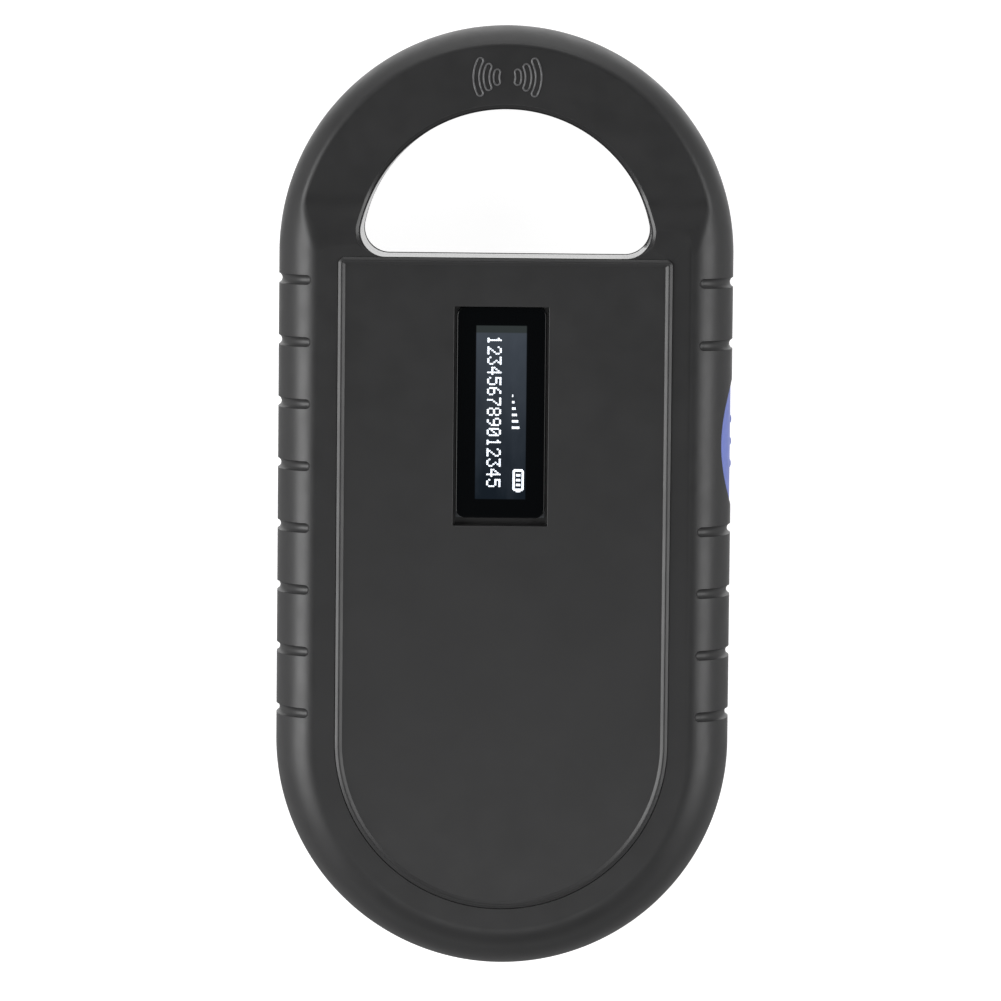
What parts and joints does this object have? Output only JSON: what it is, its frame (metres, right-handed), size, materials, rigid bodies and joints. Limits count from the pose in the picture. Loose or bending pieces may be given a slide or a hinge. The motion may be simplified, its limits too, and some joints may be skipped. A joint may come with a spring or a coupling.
{
  "type": "pet microchip scanner",
  "caption": "Flat pocket scanner with a D-shaped antenna loop at one end, a small display set lengthways, side grip grooves and an oval scan button in one side.",
  "frame": {"origin": "in the plane of the flat back face, under the middle of the outline; the scanner lies on its back", "axes": "+X to the scan button's side, +Y along the length towards the antenna loop, +Z out of the display face"},
  "size_m": [0.0628, 0.13, 0.0199],
  "materials": {
    "case": "fine-grained black moulded ABS",
    "fascia": "smooth satin black ABS",
    "label": "blank silver polyester label",
    "display_glass": "polished black display glass",
    "display_substrate": "dark coated glass",
    "foam": "closed-cell black foam",
    "flex_film": "amber polyimide film",
    "connector_plastic": "natural nylon",
    "board": "green solder mask",
    "chip": "black epoxy",
    "tinned_metal": "tinned can",
    "ceramic": "tan ceramic with tinned ends",
    "ferrite": "ferrite block",
    "led": "clear-topped LED",
    "buzzer_case": "black PBT",
    "copper_wire": "enamelled copper wire",
    "steel": "stamped steel",
    "plunger": "white acetal",
    "button": "blue-violet satin plastic",
    "cell_pouch": "aluminium laminate pouch",
    "tape": "double-sided foam tape",
    "wire_red": "red insulation",
    "wire_black": "black insulation",
    "port_plastic": "black insulator",
    "screw_steel": "zinc-plated steel"
  },
  "bodies": {
    "casing": {"front_shell": "case", "back_shell": "case", "front_fascia": "fascia", "rear_label": "label", "display_glass": "display_glass", "display_substrate": "display_substrate", "display_foam": "foam", "display_flex": "flex_film", "flex_socket": "connector_plastic", "main_pcb": "board", "microcontroller": "chip", "reader_chip": "chip", "charge_chip": "chip", "memory_chip": "chip", "crystal": "tinned_metal", "tuning_capacitor_1": "ceramic", "tuning_capacitor_2": "ceramic", "power_inductor": "ferrite", "status_led": "led", "buzzer": "buzzer_case", "antenna_coil": "copper_wire", "antenna_lead_1": "copper_wire", "antenna_lead_2": "copper_wire", "coil_pad_1": "foam", "coil_pad_2": "foam", "coil_pad_3": "foam", "coil_pad_4": "foam", "coil_pad_5": "foam", "switch_base": "chip", "switch_cover": "steel", "battery_cell": "cell_pouch", "battery_tape": "tape", "battery_socket": "connector_plastic", "battery_plug": "connector_plastic", "battery_lead_red": "wire_red", "battery_lead_black": "wire_black", "usb_shell": "steel", "usb_tongue": "port_plastic", "case_screw_1": "screw_steel", "case_screw_2": "screw_steel", "case_screw_3": "screw_steel", "case_screw_4": "screw_steel", "pcb_screw_1": "screw_steel", "pcb_screw_2": "screw_steel", "pcb_screw_3": "screw_steel"},
    "button": {"scan_button": "button"},
    "plunger": {"switch_plunger": "plunger"}
  },
  "joints": [
    {"name": "scan_button_press", "type": "slide", "parent": "casing", "child": "button", "axis": [-1, 0, 0], "range_m": [0, 0.0006], "stiffness_N_per_m": 3000},
    {"name": "switch_plunger_travel", "type": "slide", "parent": "casing", "child": "plunger", "axis": [-1, 0, 0], "range_m": [0, 0.0006]}
  ],
  "couplings": [
    {"joint": "switch_plunger_travel", "follows": "scan_button_press", "ratio": 1}
  ]
}
